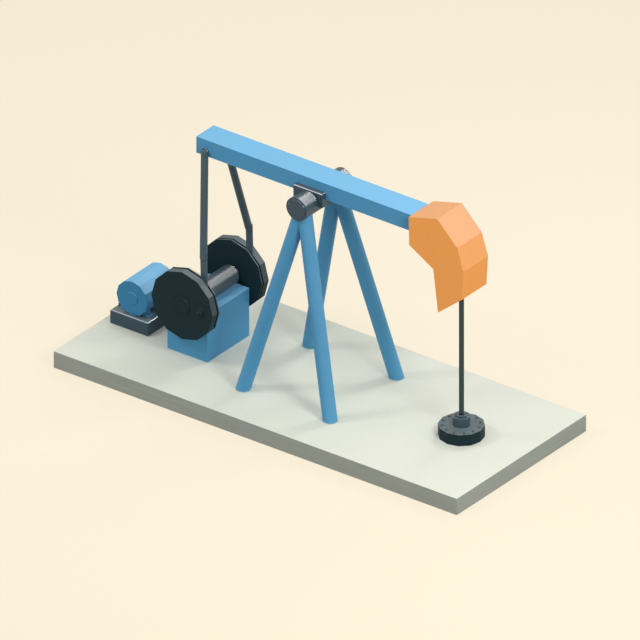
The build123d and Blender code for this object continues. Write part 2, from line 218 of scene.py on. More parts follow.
TEXTURE_MIDDLE = 0.5


def swing(mean, *moves):
    """A value about a mean, moved up and down by textures of 0 to 1, each by its own amount."""
    value = mean - TEXTURE_MIDDLE * sum(amount for _, amount in moves)
    for texture, amount in moves:
        value = value + texture * amount
    return value


def box_edges(finish, low, high, reach):
    """1 on the edges of a box, falling to 0 within reach of them."""
    near = []
    for place, a, b in zip(finish.axes(), low, high):
        depth = (b - a) / 2 - (place - (a + b) / 2).size()
        near.append((depth / reach).most(0.0))
    pairs = [near[0].most(near[1]), near[1].most(near[2]), near[0].most(near[2])]
    closest = pairs[0].least(pairs[1]).least(pairs[2])
    return 1.0 - closest.step(0.0, 1.0)


def lit_tops(finish, from_up=0.35, to_up=0.95):
    """1 on faces that look up, 0 on sides and undersides: the tops that the finishes paint lighter, as
    painted light.
    """
    return finish.facing()[2].step(from_up, to_up)


# In these finishes a noise is named with its cells to a metre, detail, roughness and stretch, a step with
# where it starts and ends, and a relief with its depth in metres and its strength
LEVEL_TOP = (0.4, 0.8)

# Concrete
CONCRETE_ROUGH, CONCRETE_SHINE = 0.86, 0.25
SLAB_CLOUDS, SLAB_CONTRAST = (0.55, 5.0, 0.62), 0.10
SLAB_GRAIN, GRAIN_CONTRAST, GRAIN_HEIGHT = (38.0, 3.0, 0.7), 0.09, 0.35
BOARD_MARKS, BOARD_CONTRAST = (1.1, 3.0, 0.6, (1.0, 1.0, 14.0)), 0.28
TROWEL_SWEEPS, SWEEP_HEIGHT = (5.0, 4.0, 0.6, (1.0, 3.0, 1.0)), 0.4
PITS_PER_METRE, PIT_EDGE, PIT_CONTRAST, PIT_HEIGHT = 22.0, (0.06, 0.16), 0.07, 0.25
CONCRETE_RELIEF = (0.004, 0.6)


def concrete_finish():
    """Trowelled slab: pale top, board-marked sides painted darker as painted shade, small pits and cloudy
    patches.
    """
    finish = Finish("trowelled_concrete", Roughness=CONCRETE_ROUGH, Specular_IOR_Level=CONCRETE_SHINE)
    top = lit_tops(finish, *LEVEL_TOP)
    clouds = finish.noise(*SLAB_CLOUDS)
    grain = finish.noise(*SLAB_GRAIN)
    boards = finish.noise(*BOARD_MARKS)
    sweeps = finish.noise(*TROWEL_SWEEPS)
    pits = finish.cells(PITS_PER_METRE).step(*PIT_EDGE)
    # The sides' colour is darker than the top's: painted shade
    sides = finish.shade(linear(CONCRETE_SIDE), swing(1.0, (boards, BOARD_CONTRAST)))
    tops = finish.shade(linear(CONCRETE_TOP), swing(1.0, (clouds, SLAB_CONTRAST)))
    colour = finish.shade(finish.blend(top, sides, tops), swing(1.0, (grain, GRAIN_CONTRAST)))
    finish.feed("Base Color", finish.shade(colour, 1.0 - PIT_CONTRAST + pits * PIT_CONTRAST))
    finish.relief(grain * GRAIN_HEIGHT + sweeps * SWEEP_HEIGHT + pits * PIT_HEIGHT, *CONCRETE_RELIEF)
    return finish.material


# Light enamel
ENAMEL_ROUGH, TOP_ROUGHER, CLOUDS_ROUGHER = 0.42, 0.12, 0.14
ENAMEL_CLOUDS, CLOUD_CONTRAST = (0.9, 4.0, 0.55), 0.08
ENAMEL_RUNS, RUN_CONTRAST, RUN_HEIGHT = (3.0, 3.0, 0.6, (4.0, 4.0, 0.35)), 0.04, 0.6
ORANGE_PEEL, PEEL_HEIGHT = (120.0, 2.0, 0.5), 0.4
GRIME, GRIME_EDGE = (7.0, 5.0, 0.7), (0.0, 0.32)
ENAMEL_RELIEF = (0.0012, 0.5)


def enamel(name, deep, lit_top, dust, lit_range=(0.0, 0.85), shine=0.15):
    """Brushed-out enamel, painted lighter where it faces up as painted light: cloudy, dusty, with faint runs
    and orange peel.
    """
    finish = Finish(name, Specular_IOR_Level=shine)
    up = lit_tops(finish, *lit_range)
    clouds = finish.noise(*ENAMEL_CLOUDS)
    runs = finish.noise(*ENAMEL_RUNS)
    peel = finish.noise(*ORANGE_PEEL)
    grime = (TEXTURE_MIDDLE - finish.noise(*GRIME)).step(*GRIME_EDGE) * dust
    # Tops painted lighter than sides: painted light
    colour = finish.blend(up, linear(deep), linear(lit_top))
    colour = finish.shade(colour, swing(1.0, (clouds, CLOUD_CONTRAST), (runs, RUN_CONTRAST)))
    finish.feed("Base Color", finish.blend(grime, colour, linear(CONCRETE_SIDE)))
    finish.feed("Roughness", swing(ENAMEL_ROUGH, (clouds, CLOUDS_ROUGHER)) + up * TOP_ROUGHER)
    finish.relief(peel * PEEL_HEIGHT + runs * RUN_HEIGHT, *ENAMEL_RELIEF)
    return finish.material


# Dark enamel
SHEEN_ROUGH, HIGHLIGHT_SMOOTHER, BLUE_ROUGHER = 0.31, 0.08, 0.15
SHEEN_CLOUDS, SHEEN_CONTRAST, SHEEN_ROUGHER = (2.2, 4.0, 0.6), 0.16, 0.08
WIPE_MARKS, WIPE_CONTRAST, WIPE_ROUGHER = (9.0, 4.0, 0.6, (1.0, 1.0, 0.3)), 0.08, 0.06
BRUSH_MARKS, BRUSH_RELIEF = (85.0, 3.0, 0.6), (0.0012, 0.4)
PAINT_LINE = 0.001


def dark_enamel(name, side=DARK_SIDE, top=DARK_TOP, shine=0.32, edge_highlight=None, blue_below=None):
    """Dark enamel, rubbed to a sheen, its top painted lighter than its sides as painted light. It may take a
    mask of edges for painted highlights, and blue_below, a height.
    """
    finish = Finish(name, Specular_IOR_Level=shine)
    up = lit_tops(finish)
    clouds = finish.noise(*SHEEN_CLOUDS)
    wipes = finish.noise(*WIPE_MARKS)
    # The top is painted lighter than the sides: painted light
    colour = finish.blend(up, linear(side), linear(top))
    colour = finish.shade(colour, swing(1.0, (clouds, SHEEN_CONTRAST), (wipes, WIPE_CONTRAST)))
    rough = swing(SHEEN_ROUGH, (clouds, SHEEN_ROUGHER), (wipes, WIPE_ROUGHER))
    if edge_highlight:
        # Bright grey along the masked edges: a painted highlight
        highlight = edge_highlight(finish)
        colour = finish.blend(highlight, colour, linear(EDGE_HIGHLIGHT))
        rough = rough - highlight * HIGHLIGHT_SMOOTHER
    if blue_below:
        above = finish.axes()[2].step(blue_below - PAINT_LINE, blue_below + PAINT_LINE)
        # The blue below the line is painted lighter on top: painted light
        painted = finish.blend(up, linear(BLUE_DEEP), linear(BLUE_LIT_TOP))
        colour = finish.blend(above, painted, colour)
        rough = rough + (1.0 - above) * BLUE_ROUGHER
    finish.feed("Base Color", colour)
    finish.feed("Roughness", rough)
    finish.relief(finish.noise(*BRUSH_MARKS), *BRUSH_RELIEF)
    return finish.material


HIGHLIGHT_REACH = 0.03
HIGHLIGHT_EDGE, HIGHLIGHT_FACING = (0.2, 0.5), (0.3, 0.6)
HIGHLIGHT_BREAKS, BREAK_MEAN, BREAK_AMOUNT = (14.0, 3.0, 0.6), 0.95, 0.4


def highlit_top_edges(node, near_only=False):
    """A mask for painted highlights along the edges round a box-shaped node's top, or only along the near
    one.
    """
    low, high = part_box(node)

    def mask(finish):
        facing = finish.facing()
        edges = box_edges(finish, low, high, HIGHLIGHT_REACH) * facing[2].step(*HIGHLIGHT_FACING)
        edges = edges.step(*HIGHLIGHT_EDGE)
        if near_only:
            edges = edges * (0.0 - facing[1]).step(*HIGHLIGHT_FACING)
        return edges * swing(BREAK_MEAN, (finish.noise(*HIGHLIGHT_BREAKS), BREAK_AMOUNT)).least(1.0)

    return mask


# Cast iron
IRON_SHINE, IRON_ROUGH, GREY_SMOOTHER = 0.2, 0.70, 0.12
CASTING_CLOUDS, CASTING_CONTRAST, CASTING_ROUGHER = (1.7, 5.0, 0.6), 0.2, 0.16
SAND, SAND_CONTRAST, SAND_RELIEF = (60.0, 4.0, 0.75), 0.08, (0.003, 0.5)
LIT_FACING = (-0.1, 0.9)
RIM_FACING, RIM_UPWARD = (0.7, 0.95), (-0.4, 0.0)


def iron_finish(name, grey_share, level=IRON_RIM):
    """Painted casting, near black, and greyer by a share its mask gives. The grey is painted lighter where
    the face looks up, as painted light; level is that grey where the face is upright.
    """
    finish = Finish(name, Specular_IOR_Level=IRON_SHINE)
    greyed = grey_share(finish)
    clouds = finish.noise(*CASTING_CLOUDS)
    sand = finish.noise(*SAND)
    # The grey is painted lighter where the face looks up: painted light
    grey = finish.blend(finish.facing()[2].step(*LIT_FACING), linear(level), linear(IRON_LIT_GREY))
    colour = finish.blend(greyed, linear(IRON_FACE), grey)
    colour = finish.shade(colour, swing(1.0, (clouds, CASTING_CONTRAST), (sand, SAND_CONTRAST)))
    finish.feed("Base Color", colour)
    finish.feed("Roughness", swing(IRON_ROUGH, (clouds, CASTING_ROUGHER)) - greyed * GREY_SMOOTHER)
    finish.relief(sand, *SAND_RELIEF)
    return finish.material


def upper_rim(finish):
    """1 on a disc's rim where it looks up or level, 0 on its faces and underside: a bare rim, grey only on
    its lit upper side as painted light.
    """
    facing = finish.facing()
    return (1.0 - facing[1].size().step(*RIM_FACING)) * facing[2].step(*RIM_UPWARD)


def flat_top(finish):
    """1 on a top that faces up, 0 on sides: a bare top, made lighter than the sides as painted light."""
    return lit_tops(finish, *LEVEL_TOP)


def nowhere(finish):
    """0 all over: a casting that is painted all round."""
    return 0.0


def everywhere(finish):
    """1 all over: the whole casting takes the lighter grey, painted light that lightens its shaded sides."""
    return 1.0


# Steel and wire rope
METAL_SHARE = 0.5
STEEL_ROUGH, STEEL_SHADE = 0.38, 0.99
OIL_FILM, FILM_CONTRAST, FILM_ROUGHER = (6.0, 4.0, 0.6), 0.2, 0.16
TURNED_GRAIN, TURNED_CONTRAST, TURNED_RELIEF = (30.0, 2.0, 0.5, (1.0, 1.0, 12.0)), 0.1, (0.0008, 0.4)
ROPE_STRANDS, ROPE_LAY = 6, 0.18
ROPE_SHADE, STRAND_CONTRAST, STRAND_RELIEF = 0.75, 0.6, (0.004, 1.0)
ROPE_ROUGH, STRAND_SMOOTHER = 0.47, 0.16


def steel_finish():
    """Bare steel: turned or drawn, with a fine grain and a film of old oil."""
    finish = Finish("oiled_steel", Metallic=METAL_SHARE)
    film = finish.noise(*OIL_FILM)
    grain = finish.noise(*TURNED_GRAIN)
    shade = swing(STEEL_SHADE, (film, FILM_CONTRAST), (grain, TURNED_CONTRAST))
    finish.feed("Base Color", finish.shade(linear(STEEL_OILED), shade))
    finish.feed("Roughness", swing(STEEL_ROUGH, (film, FILM_ROUGHER)))
    finish.relief(grain, *TURNED_RELIEF)
    return finish.material


def rope_finish():
    """Wire rope: strands laid round it, darker in the valleys between them."""
    finish = Finish("wire_rope", Metallic=METAL_SHARE)
    low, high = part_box("hanging_ropes")
    radius = (high.x - low.x) / 2
    x, y, z = finish.axes()
    across = y.size() - (high.y - radius)
    turn = across.maths("ARCTAN2", x - (low.x + high.x) / 2)
    wave = (turn * ROPE_STRANDS + z * (2 * pi * ROPE_STRANDS / ROPE_LAY)).maths("SINE")
    lay = wave / 2 + TEXTURE_MIDDLE
    finish.feed("Base Color", finish.shade(linear(ROPE_GREY), swing(ROPE_SHADE, (lay, STRAND_CONTRAST))))
    finish.feed("Roughness", swing(ROPE_ROUGH, (lay, -STRAND_SMOOTHER)))
    finish.relief(lay, *STRAND_RELIEF)
    return finish.material


# Rubber
BELT_ROUGH, BELT_SHADE = 0.78, 1.1
BELT_WEAVE, WEAVE_ROUGHER, WEAVE_RELIEF = (90.0, 2.0, 0.5), 0.16, (0.0012, 0.6)
BELT_DUST, DUST_CONTRAST = (9.0, 4.0, 0.6), 0.6


def rubber_finish():
    """Matt belt rubber with a faint cross weave."""
    finish = Finish("belt_rubber")
    weave = finish.noise(*BELT_WEAVE)
    dust = finish.noise(*BELT_DUST)
    finish.feed("Base Color", finish.shade(linear(BELT_BLACK), swing(BELT_SHADE, (dust, DUST_CONTRAST))))
    finish.feed("Roughness", swing(BELT_ROUGH, (weave, WEAVE_ROUGHER)))
    finish.relief(weave, *WEAVE_RELIEF)
    return finish.material


# Gearbox sizes that a finish and several pieces share
GEARBOX_LENGTH = 0.898
HOUSING_FLANGE, HATCH_THICKNESS = 0.020, 0.014
gearbox_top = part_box("crankshaft_housing")[0].z
housing_flange_top = gearbox_top + HOUSING_FLANGE

blue = enamel("blue_enamel", BLUE_DEEP, BLUE_LIT_TOP, dust=0.05)
# A darker copy of the blue, for the motor's end bells and what they carry: painted shade
shaded_blue = enamel("end_bell_enamel", BLUE_SHADED, BLUE_LIT_TOP, dust=0.08)
orange = enamel("orange_enamel", ORANGE_DEEP, ORANGE_LIT_TOP, dust=0.04, lit_range=(-0.1, 0.75), shine=0.08)
dark = dark_enamel("dark_enamel")
grey_enamel = dark_enamel("grey_enamel", side=DARK_GREY)
disc_iron = iron_finish("disc_iron", upper_rim)
flange_iron = iron_finish("flange_iron", flat_top)
boss_iron = iron_finish("boss_iron", nowhere)
# The flange's nuts take the lighter grey all round: painted light
nut_iron = iron_finish("nut_iron", everywhere, IRON_LIT_GREY)
oiled_steel = steel_finish()
wire_rope = rope_finish()
rubber = rubber_finish()
concrete = concrete_finish()

SLOT_FINISH = {
    "concrete": concrete,
    "blue_paint": blue,
    "orange_paint": orange,
    "dark_paint": dark,
    "cast_iron": disc_iron,
    "steel": oiled_steel,
    "rubber": rubber,
}
NODE_FINISH = {
    "wellhead_flange": flange_iron,
    "motor_end_bells": shaded_blue,
    "motor_base": dark_enamel("base_enamel", top=BASE_TOP, edge_highlight=highlit_top_edges("motor_base")),
    "beam_saddle": dark_enamel("saddle_enamel", edge_highlight=highlit_top_edges("beam_saddle", near_only=True)),
    "crankshaft_housing": dark_enamel(
        "housing_enamel", side=HOUSING_GREY, shine=0.17, blue_below=housing_flange_top + PAINT_LINE
    ),
    "stuffing_box": grey_enamel,
    "near_pitman_rod": grey_enamel,
    "near_pitman_blade": grey_enamel,
    "far_pitman_rod": grey_enamel,
    "far_pitman_blade": grey_enamel,
    "wrapped_ropes": wire_rope,
    "hanging_ropes": wire_rope,
}


def dress_nodes():
    """The finish of each CAD node: its own where it has one, or else its slot's."""
    for node, obj in nodes.items():
        obj.data.materials.clear()
        obj.data.materials.append(NODE_FINISH.get(node, SLOT_FINISH[slot_of[node]]))


# Making of small pieces, all in metres and in the frame's own axes
MERGE_DISTANCE = 1e-5
SHARP_ANGLE = radians(32)
X_AXIS, Y_AXIS, Z_AXIS = Vector((1, 0, 0)), Vector((0, 1, 0)), Vector((0, 0, 1))
ROUND_STEPS = 48
EASED_EDGE = 0.004

# The far side looks along +Y, and the front, where the well is, along +X
SIDES = {"near": -1, "far": 1}
ENDS = {"front": 1, "rear": -1}


def stand(at, along=Z_AXIS, spin=0.0):
    """The matrix that takes a shape made up the Z axis to a place, and points it along a direction."""
    turn = Vector(along).to_track_quat("Z", "Y").to_matrix().to_4x4()
    return Matrix.Translation(at) @ turn @ Matrix.Rotation(spin, 4, "Z")


def join(shape, made):
    """Adds a made shape to a bigger one, and frees it."""
    mesh = bpy.data.meshes.new("joining")
    made.to_mesh(mesh)
    made.free()
    shape.from_mesh(mesh)
    bpy.data.meshes.remove(mesh)


def turned(shape, matrix, profile, steps=ROUND_STEPS):
    """Adds a turned solid: a profile of radius and height, spun about Z and then placed by the matrix."""
    lathe = bmesh.new()
    points = [lathe.verts.new((radius, 0.0, height)) for radius, height in profile]
    edges = [lathe.edges.new(pair) for pair in zip(points, points[1:])]
    line = points + edges
    bmesh.ops.spin(lathe, geom=line, axis=Z_AXIS, cent=(0, 0, 0), angle=2 * pi, steps=steps, use_merge=True)
    bmesh.ops.remove_doubles(lathe, verts=lathe.verts, dist=MERGE_DISTANCE)
    bmesh.ops.recalc_face_normals(lathe, faces=lathe.faces)
    bmesh.ops.transform(lathe, matrix=matrix, verts=lathe.verts)
    join(shape, lathe)


def block(shape, low, high, edge):
    """Adds a block between two corners, with its edges broken."""
    low, high = Vector(low), Vector(high)
    box = bmesh.new()
    bmesh.ops.create_cube(box, size=1.0)
    bmesh.ops.scale(box, vec=high - low, verts=box.verts)
    bmesh.ops.translate(box, vec=(low + high) / 2, verts=box.verts)
    bmesh.ops.bevel(box, geom=box.edges[:], offset=edge, affect="EDGES", segments=2, profile=0.5, material=-1)
    join(shape, box)


def settle(piece, body, slot, finish=None):
    """Dresses a piece with its finish or its slot's, and puts it on its body."""
    piece.data.materials.append(finish or SLOT_FINISH[slot])
    bpy.context.scene.collection.objects.link(piece)
    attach(piece, body)


def finish_piece(name, shape, body, slot, finish=None):
    """Makes a shape a piece of its own, smooth but for its sharp edges."""
    mesh = bpy.data.meshes.new(name)
    shape.to_mesh(mesh)
    shape.free()
    mesh.shade_smooth()
    mesh.set_sharp_from_angle(angle=SHARP_ANGLE)
    settle(bpy.data.objects.new(name, mesh), body, slot, finish)


# Hex bolts: half the width across the corners of each size's head, and their profiles as shares of it
M10, M12, M16, M20, M24, M30 = 0.0092, 0.011, 0.0139, 0.0173, 0.0208, 0.0266
WASHER = ((0.0, 0.14), (1.28, 0.14), (1.34, 0.08), (1.34, 0.0), (0.0, 0.0))
HEX_HEAD = ((0.0, 0.80), (0.78, 0.80), (1.0, 0.68), (1.0, 0.12), (0.0, 0.12))
STUD_END = ((0.0, 1.20), (0.42, 1.20), (0.5, 1.12), (0.5, 0.7), (0.0, 0.7))
WASHER_STEPS, HEX_STEPS, STUD_STEPS = 14, 6, 8
BOLT_TURN = 0.37


def bolts(name, body, slot, size, places, along, stud=False, finish=None):
    """One piece of like bolts, or of nuts with their studs' ends, each turned a little from the next."""
    shape = bmesh.new()
    for n, at in enumerate(places):
        matrix = stand(at, along, BOLT_TURN * n) @ Matrix.Scale(size, 4)
        turned(shape, matrix, WASHER, WASHER_STEPS)
        turned(shape, matrix, HEX_HEAD, HEX_STEPS)
        if stud:
            turned(shape, matrix, STUD_END, STUD_STEPS)
    finish_piece(name, shape, body, slot, finish)


def circle(centre, along, radius, count, start=0.0):
    """Places evenly round a circle that is square to a direction."""
    turn = stand(centre, along)
    angles = [start + 2 * pi * n / count for n in range(count)]
    return [turn @ Vector((radius * cos(a), radius * sin(a), 0.0)) for a in angles]


def cap(radius, height, edge=EASED_EDGE):
    """The profile of a round cap with an eased edge."""
    return ((0.0, height), (radius - edge, height), (radius, height - edge), (radius, 0.0), (0.0, 0.0))


def ring(inner, outer, height, edge=EASED_EDGE):
    """The profile of a flat ring with eased edges, closed round its bore."""
    top = ((inner, height - edge), (inner + edge, height), (outer - edge, height), (outer, height - edge))
    return ((inner, 0.0), *top, (outer, 0.0), (inner, 0.0))


def middle(node):
    """The middle of a node's box."""
    low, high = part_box(node)
    return (low + high) / 2


def outer_face(node, side):
    """The Y of a node's face that looks away from the middle, on the near or the far side."""
    low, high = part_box(node)
    return high.y if side > 0 else low.y


# Beads of weld and of grout: the step between ripples, their radii, and how far each ripple falls in
BEAD_STEP = 0.009
SEAM_WELD, GROUT_RADIUS = 0.004, 0.009
WELD_RIPPLE, GROUT_RIPPLE = 0.16, 0.05
BEAD_ROUNDING = 1


def beads(name, body, slot, runs, radius, ripple=WELD_RIPPLE):
    """Round beads along runs of places, each with whether it is closed. A bead swells with its ripples."""
    curve = bpy.data.curves.new(name, "CURVE")
    curve.dimensions = "3D"
    curve.bevel_depth = radius
    curve.bevel_resolution = BEAD_ROUNDING
    curve.use_fill_caps = True
    for places, closed in runs:
        line = curve.splines.new("POLY")
        line.points.add(len(places) - 1)
        for n, (point, place) in enumerate(zip(line.points, places)):
            point.co = (*place, 1.0)
            point.radius = 1.0 - ripple * (n % 2)
        line.use_cyclic_u = closed
    settle(bpy.data.objects.new(name, curve), body, slot)


def divided(corners, closed):
    """The corners of a run, with a place between them at each ripple."""
    corners = [Vector(corner) for corner in corners]
    ends = corners[1:] + (corners[:1] if closed else [])
    places = []
    for start, end in zip(corners, ends):
        count = ceil((end - start).length / BEAD_STEP)
        places += [start.lerp(end, n / count) for n in range(count)]
    return places if closed else [*places, corners[-1]]


def rectangle(x_span, y_span, z):
    """The four corners of a level rectangle, in order round it."""
    (x_low, x_high), (y_low, y_high) = x_span, y_span
    return [(x_low, y_low, z), (x_high, y_low, z), (x_high, y_high, z), (x_low, y_high, z)]


# Places that several pieces share
pad_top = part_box("concrete_pad")[1].z
pivot = middle("centre_shaft")
crank_axis = middle("crankshaft")
drive_axis = middle("motor_pulley")
sheave_axis = middle("gearbox_sheave")

# Wellhead: the flange's nuts and the stuffing box's gland
FLANGE_BOLT_CIRCLE, FLANGE_BOLT_COUNT = 0.350, 12
GLAND_BORE, GLAND_RADIUS, GLAND_HEIGHT = 0.051, 0.112, 0.030
GLAND_BOLT_CIRCLE, GLAND_BOLT_COUNT = 0.086, 4


def dress_wellhead():
    well = middle("wellhead_flange")
    well.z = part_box("wellhead_flange")[1].z
    places = circle(well, Z_AXIS, FLANGE_BOLT_CIRCLE, FLANGE_BOLT_COUNT, pi / FLANGE_BOLT_COUNT)
    bolts("flange_nuts", "root", "cast_iron", M30, places, Z_AXIS, stud=True, finish=nut_iron)
    well.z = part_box("stuffing_box")[1].z
    shape = bmesh.new()
    turned(shape, stand(well), ring(GLAND_BORE, GLAND_RADIUS, GLAND_HEIGHT))
    finish_piece("gland_ring", shape, "root", "dark_paint")
    well.z += GLAND_HEIGHT
    places = circle(well, Z_AXIS, GLAND_BOLT_CIRCLE, GLAND_BOLT_COUNT, pi / GLAND_BOLT_COUNT)
    bolts("gland_nuts", "root", "dark_paint", M16, places, Z_AXIS, stud=True)


# Samson post: the heads' end covers, the welds under them, and the grout round the feet
END_COVER_RADIUS, END_COVER_THICKNESS = 0.196, 0.014
END_COVER_BOLT_CIRCLE, END_COVER_BOLT_COUNT = 0.166, 8
POST_HEAD_RADIUS = 0.232
LEG_RADIUS = 0.1365
LEG_FOOT_X, LEG_FOOT_Y, LEG_APEX_Y = 0.979, 0.997, 0.486
LEG_WELD = 0.011


def leg_lines(side, end):
    """Lines up a leg's skin, each a start at foot height and a direction, in order round the leg."""
    foot = Vector((end * LEG_FOOT_X, side * LEG_FOOT_Y, pad_top))
    up = (Vector((0.0, side * LEG_APEX_Y, pivot.z)) - foot).normalized()
    outward = (X_AXIS * end - up * up.dot(X_AXIS * end)).normalized()
    across = up.cross(outward)
    count = ceil(2 * pi * LEG_RADIUS / BEAD_STEP)
    angles = [2 * pi * n / count - pi for n in range(count)]
    return [(foot + (outward * cos(a) + across * sin(a)) * LEG_RADIUS, up) for a in angles]


def on_drum(start, up):
    """Where a line up a leg's skin first meets the post head."""
    x, z = start.x, start.z - pivot.z
    square = up.x**2 + up.z**2
    cross = x * up.x + z * up.z
    depth = sqrt(cross**2 - square * (x**2 + z**2 - POST_HEAD_RADIUS**2))
    return start + up * ((-cross - depth) / square)


def weld_post():
    """A bead round each pair of leg tops under its head, one in their crotch, and grout round each foot."""
    welds = []
    grout = []
    for side in SIDES.values():
        lines = leg_lines(side, ENDS["front"])
        tops = [on_drum(*line) for line in lines]
        front = [place for place in tops if place.x >= 0.0]
        rear = [Vector((-place.x, place.y, place.z)) for place in reversed(front)]
        welds.append((front + rear, True))
        inner = [line for line, place in zip(lines, tops) if place.x < 0.0]
        inner.sort(key=lambda line: line[0].y)
        welds.append(([start - up * (start.x / up.x) for start, up in inner], False))
        for end in ENDS.values():
            foot = [start + up * ((pad_top - start.z) / up.z) for start, up in leg_lines(side, end)]
            grout.append((foot, True))
    beads("leg_welds", "root", "blue_paint", welds, LEG_WELD)
    beads("foot_grout", "root", "concrete", grout, GROUT_RADIUS, GROUT_RIPPLE)


def dress_post():
    for name, side in SIDES.items():
        along = Y_AXIS * side
        face = Vector((pivot.x, outer_face(f"{name}_post_head", side), pivot.z))
        shape = bmesh.new()
        turned(shape, stand(face, along), cap(END_COVER_RADIUS, END_COVER_THICKNESS))
        finish_piece(f"{name}_end_cover", shape, "root", "dark_paint")
        face += along * END_COVER_THICKNESS
        places = circle(face, along, END_COVER_BOLT_CIRCLE, END_COVER_BOLT_COUNT, pi / END_COVER_BOLT_COUNT)
        bolts(f"{name}_end_cover_bolts", "root", "dark_paint", M12, places, along)
    weld_post()


# Saddle: the clamp bolts through its cheeks, and the bearing cap's bolts from below
CLAMP_BOLT_X, CLAMP_BOLT_RISE = (-0.25, -0.085, 0.085, 0.25), 0.080
CAP_BOLT_LEAN, CAP_BOLT_Y = 0.45, (0.11, 0.29)


def dress_saddle():
    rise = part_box("walking_beam")[0].z + CLAMP_BOLT_RISE
    for name, side in SIDES.items():
        places = [(x, outer_face("beam_saddle", side), rise) for x in CLAMP_BOLT_X]
        bolts(f"{name}_clamp_bolts", "beam", "dark_paint", M24, places, Y_AXIS * side)
    radius = pivot.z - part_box("centre_bearing_cap")[0].z
    for name, end in ENDS.items():
        along = (X_AXIS * end * CAP_BOLT_LEAN - Z_AXIS).normalized()
        places = [pivot + along * radius + Y_AXIS * side * y for side in SIDES.values() for y in CAP_BOLT_Y]
        bolts(f"{name}_cap_bolts", "beam", "dark_paint", M20, places, along)


# Horse head: bolts on its rear plate, and the seams of its face plates. The corners of the plates are
# shares of a cheek's length and height, and the seams stand in a little towards its middle
HEAD_CHEEK = 0.016
HEAD_FACE_CORNERS = ((0.0, 0.910), (0.522, 1.0), (0.886, 0.767), (1.0, 0.534), (0.971, 0.230))
HEAD_REAR_CORNERS = ((0.007, 0.614), (0.0, 0.910))
HEAD_BOLT_Y, HEAD_BOLT_SHARES = 0.306, (0.225, 0.505, 0.82)
SEAM_SINK = 0.003


def on_cheek(low, high, y, shares):
    """Places at shares of the cheek's length and height, all at one Y."""
    return [Vector((low.x + a * (high.x - low.x), y, low.z + b * (high.z - low.z))) for a, b in shares]


def dress_head():
    low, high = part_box("near_head_cheek")
    seams = []
    for name, side in SIDES.items():
        foot, top = on_cheek(low, high, side * HEAD_BOLT_Y, HEAD_REAR_CORNERS)
        places = [foot.lerp(top, share) for share in HEAD_BOLT_SHARES]
        bolts(f"{name}_head_bolts", "beam", "orange_paint", M20, places, -X_AXIS)
        y = outer_face(f"{name}_head_cheek", side) - side * HEAD_CHEEK
        centre = Vector(((low.x + high.x) / 2, y, (low.z + high.z) / 2))
        corners = [corner.lerp(centre, SEAM_SINK) for corner in on_cheek(low, high, y, HEAD_FACE_CORNERS)]
        for corner in corners:
            corner.z = min(corner.z, high.z - SEAM_WELD)
        seams.append((divided(corners, closed=False), False))
    beads("head_seams", "beam", "orange_paint", seams, SEAM_WELD)


def weld_tail_plate():
    """A bead round the plate that closes the beam's tail."""
    low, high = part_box("beam_tail_plate")
    level = rectangle((low.y, high.y), (low.z, high.z), high.x)
    corners = [(x, y, z) for y, z, x in level]
    beads("tail_plate_weld", "beam", "blue_paint", [(divided(corners, closed=True), True)], SEAM_WELD)


# Cranks: hub covers and the crank pins' nuts, on the discs' outer faces
HUB_RADIUS, HUB_THICKNESS = 0.165, 0.016
HUB_BOLT_CIRCLE, HUB_BOLT_COUNT = 0.132, 8
PIN_BOSS_RADIUS, PIN_BOSS_THICKNESS = 0.098, 0.012
PIN_NUT = 0.062


def dress_cranks():
    for name, side in SIDES.items():
        along = Y_AXIS * side
        y = outer_face(f"{name}_outer_web", side)
        hub = Vector((crank_axis.x, y, crank_axis.z))
        pin = middle(f"{name}_wrist_pin")
        pin.y = y
        shape = bmesh.new()
        turned(shape, stand(hub, along), cap(HUB_RADIUS, HUB_THICKNESS))
        turned(shape, stand(pin, along), cap(PIN_BOSS_RADIUS, PIN_BOSS_THICKNESS))
        finish_piece(f"{name}_crank_bosses", shape, "crank", "cast_iron", boss_iron)
        places = circle(hub + along * HUB_THICKNESS, along, HUB_BOLT_CIRCLE, HUB_BOLT_COUNT)
        bolts(f"{name}_hub_bolts", "crank", "cast_iron", M20, places, along, finish=boss_iron)
        nut = f"{name}_crank_pin_nut"
        places = [pin + along * PIN_BOSS_THICKNESS]
        bolts(nut, "crank", "cast_iron", PIN_NUT, places, along, stud=True, finish=boss_iron)


# Pitmans: two bolts through each rod's slotted end
PITMAN_RADIUS, PITMAN_TOP_Y = 0.070, 0.297
SLOT_BOLT_RISE, SLOT_BOLT_SINK = (0.035, 0.085), 0.006


def dress_pitmans():
    for name, side in SIDES.items():
        low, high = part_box(f"{name}_pitman_rod")
        bend = Vector((high.x - PITMAN_RADIUS, middle(f"{name}_pitman_blade").y, low.z))
        top = middle("tail_pin") + Y_AXIS * side * PITMAN_TOP_Y
        out = Y_AXIS * side * (PITMAN_RADIUS - SLOT_BOLT_SINK)
        places = [bend.lerp(top, rise / (top.z - bend.z)) + out for rise in SLOT_BOLT_RISE]
        bolts(f"{name}_slot_bolts", f"{name}_pitman", "dark_paint", M16, places, Y_AXIS * side)


# Carrier: the ropes' sockets under it, and the polished rod's collar
SOCKET = ((0.0, 0.090), (0.017, 0.090), (0.020, 0.084), (0.026, 0.030), (0.026, 0.0), (0.0, 0.0))
COLLAR_RADIUS, COLLAR_HEIGHT = 0.056, 0.040


